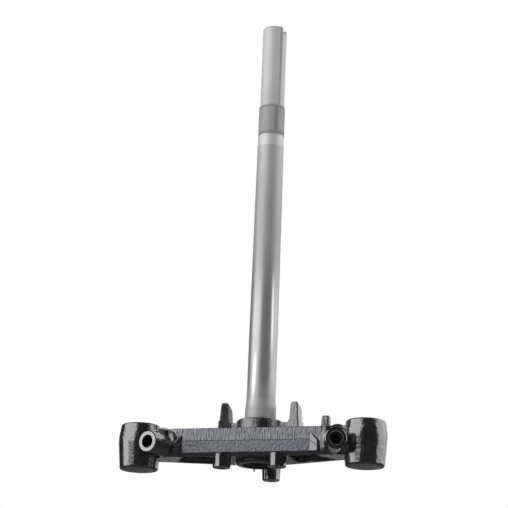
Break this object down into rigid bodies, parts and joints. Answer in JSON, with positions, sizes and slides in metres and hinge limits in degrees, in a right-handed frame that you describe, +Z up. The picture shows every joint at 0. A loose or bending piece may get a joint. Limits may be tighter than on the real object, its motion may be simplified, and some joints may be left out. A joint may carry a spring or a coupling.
{
  "type": "motorcycle triple clamp",
  "caption": "Black painted lower fork yoke with split pinch clamps and steering stops, and a bare steel steering stem that is threaded near its top.",
  "frame": {"origin": "on the stem axis, at the shoulder that the lower steering bearing rests on", "axes": "+Z up the steering stem, +X from fork leg to fork leg towards the end with the peg, -Y towards the front face with the pinch bolts"},
  "size_m": [0.2642, 0.1168, 0.4545],
  "materials": {
    "yoke_paint": "gloss black paint over a drop-forged surface",
    "stem_steel": "bare turned steel"
  },
  "bodies": {
    "root": {"lower_yoke": "yoke_paint", "steering_stem": "stem_steel"}
  },
  "joints": []
}
